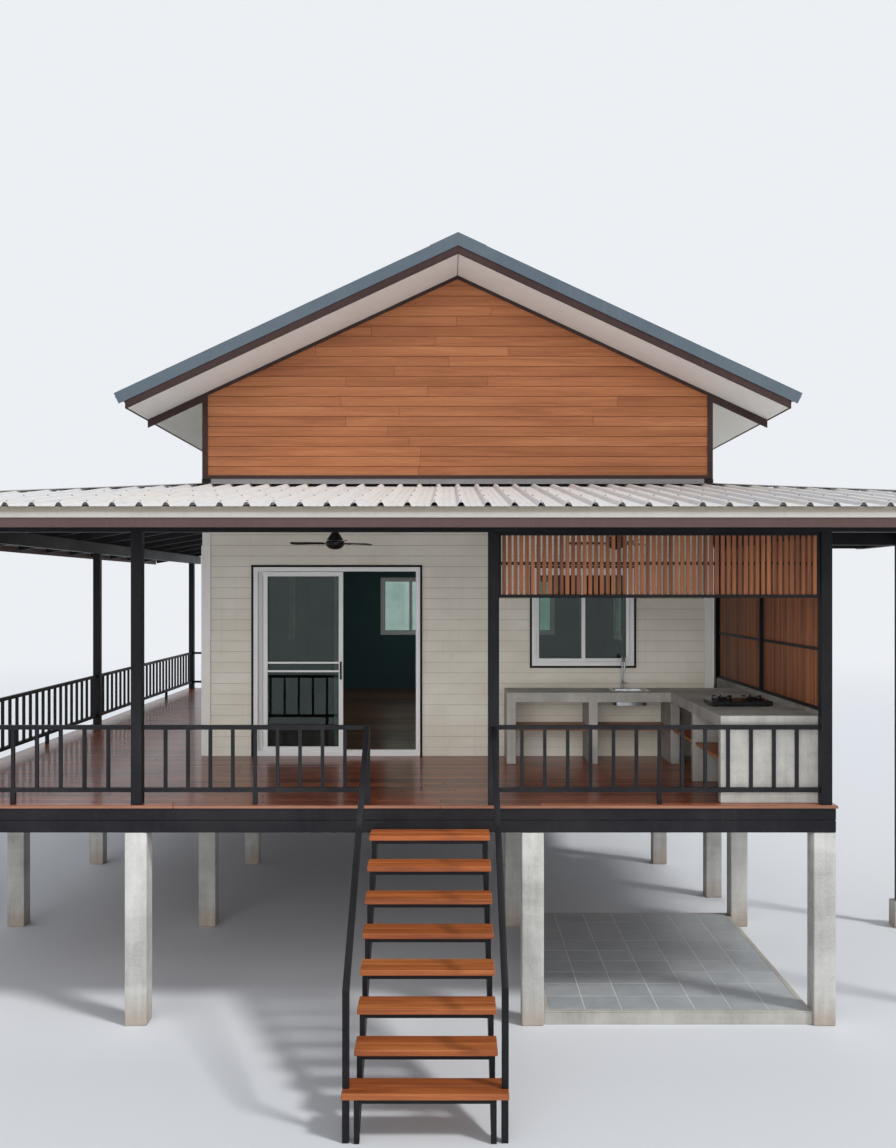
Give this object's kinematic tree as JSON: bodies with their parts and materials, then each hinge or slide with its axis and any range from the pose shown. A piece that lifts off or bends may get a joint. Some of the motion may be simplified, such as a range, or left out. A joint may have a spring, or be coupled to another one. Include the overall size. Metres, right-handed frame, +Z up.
{
  "type": "stilt house with wrap-around verandah",
  "caption": "Raised gabled house on concrete stilts with a hipped wrap-around verandah roof, open-tread stair, slat screens, sliding door and built-in outdoor kitchen counter.",
  "frame": {"origin": "on the ground under the middle of the overall footprint, roof and stair included", "axes": "+Z up; the entrance side with the stair faces -Y; +X is to the right for someone facing the front from outside"},
  "size_m": [12.24, 14.978, 7.8824],
  "materials": {
    "concrete": "rough",
    "tile": "matte",
    "black_steel": "satin",
    "deck_wood": "gloss",
    "tread_wood": "satin",
    "slat_wood": "satin",
    "floor_board": "satin",
    "roof_sheet": "satin",
    "blue_grey_sheet": "satin",
    "cream_fascia": "satin",
    "mauve_fascia": "satin",
    "white_siding": "painted",
    "white_board": "painted",
    "plank": "satin",
    "dark_trim": "satin",
    "soffit_board": "painted",
    "roof_steel": "matte",
    "white_frame": "powder coated",
    "window_glass": "clear",
    "black_trim": "satin",
    "steel_bright": "brushed",
    "black_enamel": "gloss",
    "fan_black": "satin"
  },
  "bodies": {
    "house": {"stilts": "concrete", "ground_slab": "tile", "floor_frame": "black_steel", "floor_joists": "black_steel", "deck_floor": "deck_wood", "house_floor": "floor_board", "stair_frame": "black_steel", "stair_treads": "tread_wood", "stair_handrails": "black_steel", "verandah_posts": "black_steel", "railings": "black_steel", "verandah_beams": "black_steel", "verandah_frame": "black_steel", "verandah_sheets": "roof_sheet", "verandah_flashings": "roof_sheet", "verandah_upper_fascia": "cream_fascia", "verandah_lower_fascia": "mauve_fascia", "screen_frames": "black_steel", "screen_slats": "slat_wood", "kitchen_counter": "concrete", "counter_shelves": "slat_wood", "sink": "steel_bright", "tap": "steel_bright", "hob": "black_enamel", "front_wall_left": "white_siding", "front_wall_head": "white_siding", "front_wall_right": "white_siding", "left_wall": "white_siding", "right_wall": "white_siding", "rear_wall": "white_siding", "corner_boards": "white_board", "ceiling": "soffit_board", "front_gable": "plank", "rear_gable": "plank", "gable_trims": "dark_trim", "roof_trusses": "roof_steel", "roof_purlins": "roof_steel", "main_roof_sheets": "blue_grey_sheet", "roof_caps": "blue_grey_sheet", "eave_boards": "dark_trim", "soffits": "soffit_board", "door_frame": "white_frame", "door_glass_fixed": "window_glass", "door_surround": "black_trim", "window_frames": "white_frame", "window_glass": "window_glass", "window_surrounds": "black_trim", "fan_mounts": "fan_black"},
    "sliding_sash": {"door_sash": "white_frame", "door_sash_glass": "window_glass", "door_handle": "black_trim"},
    "left_fan": {"fan_rotor_left": "fan_black"},
    "right_fan": {"fan_rotor_right": "fan_black"}
  },
  "joints": [
    {"name": "door_slide", "type": "slide", "parent": "house", "child": "sliding_sash", "axis": [1, 0, 0], "range_m": [0, 0.85]},
    {"name": "left_fan_spin", "type": "hinge", "parent": "house", "child": "left_fan", "pos_m": [-1.285, -3.879, 4.44], "axis": [0, 0, 1], "continuous": true},
    {"name": "right_fan_spin", "type": "hinge", "parent": "house", "child": "right_fan", "pos_m": [1.64, -3.879, 4.44], "axis": [0, 0, 1], "continuous": true}
  ]
}
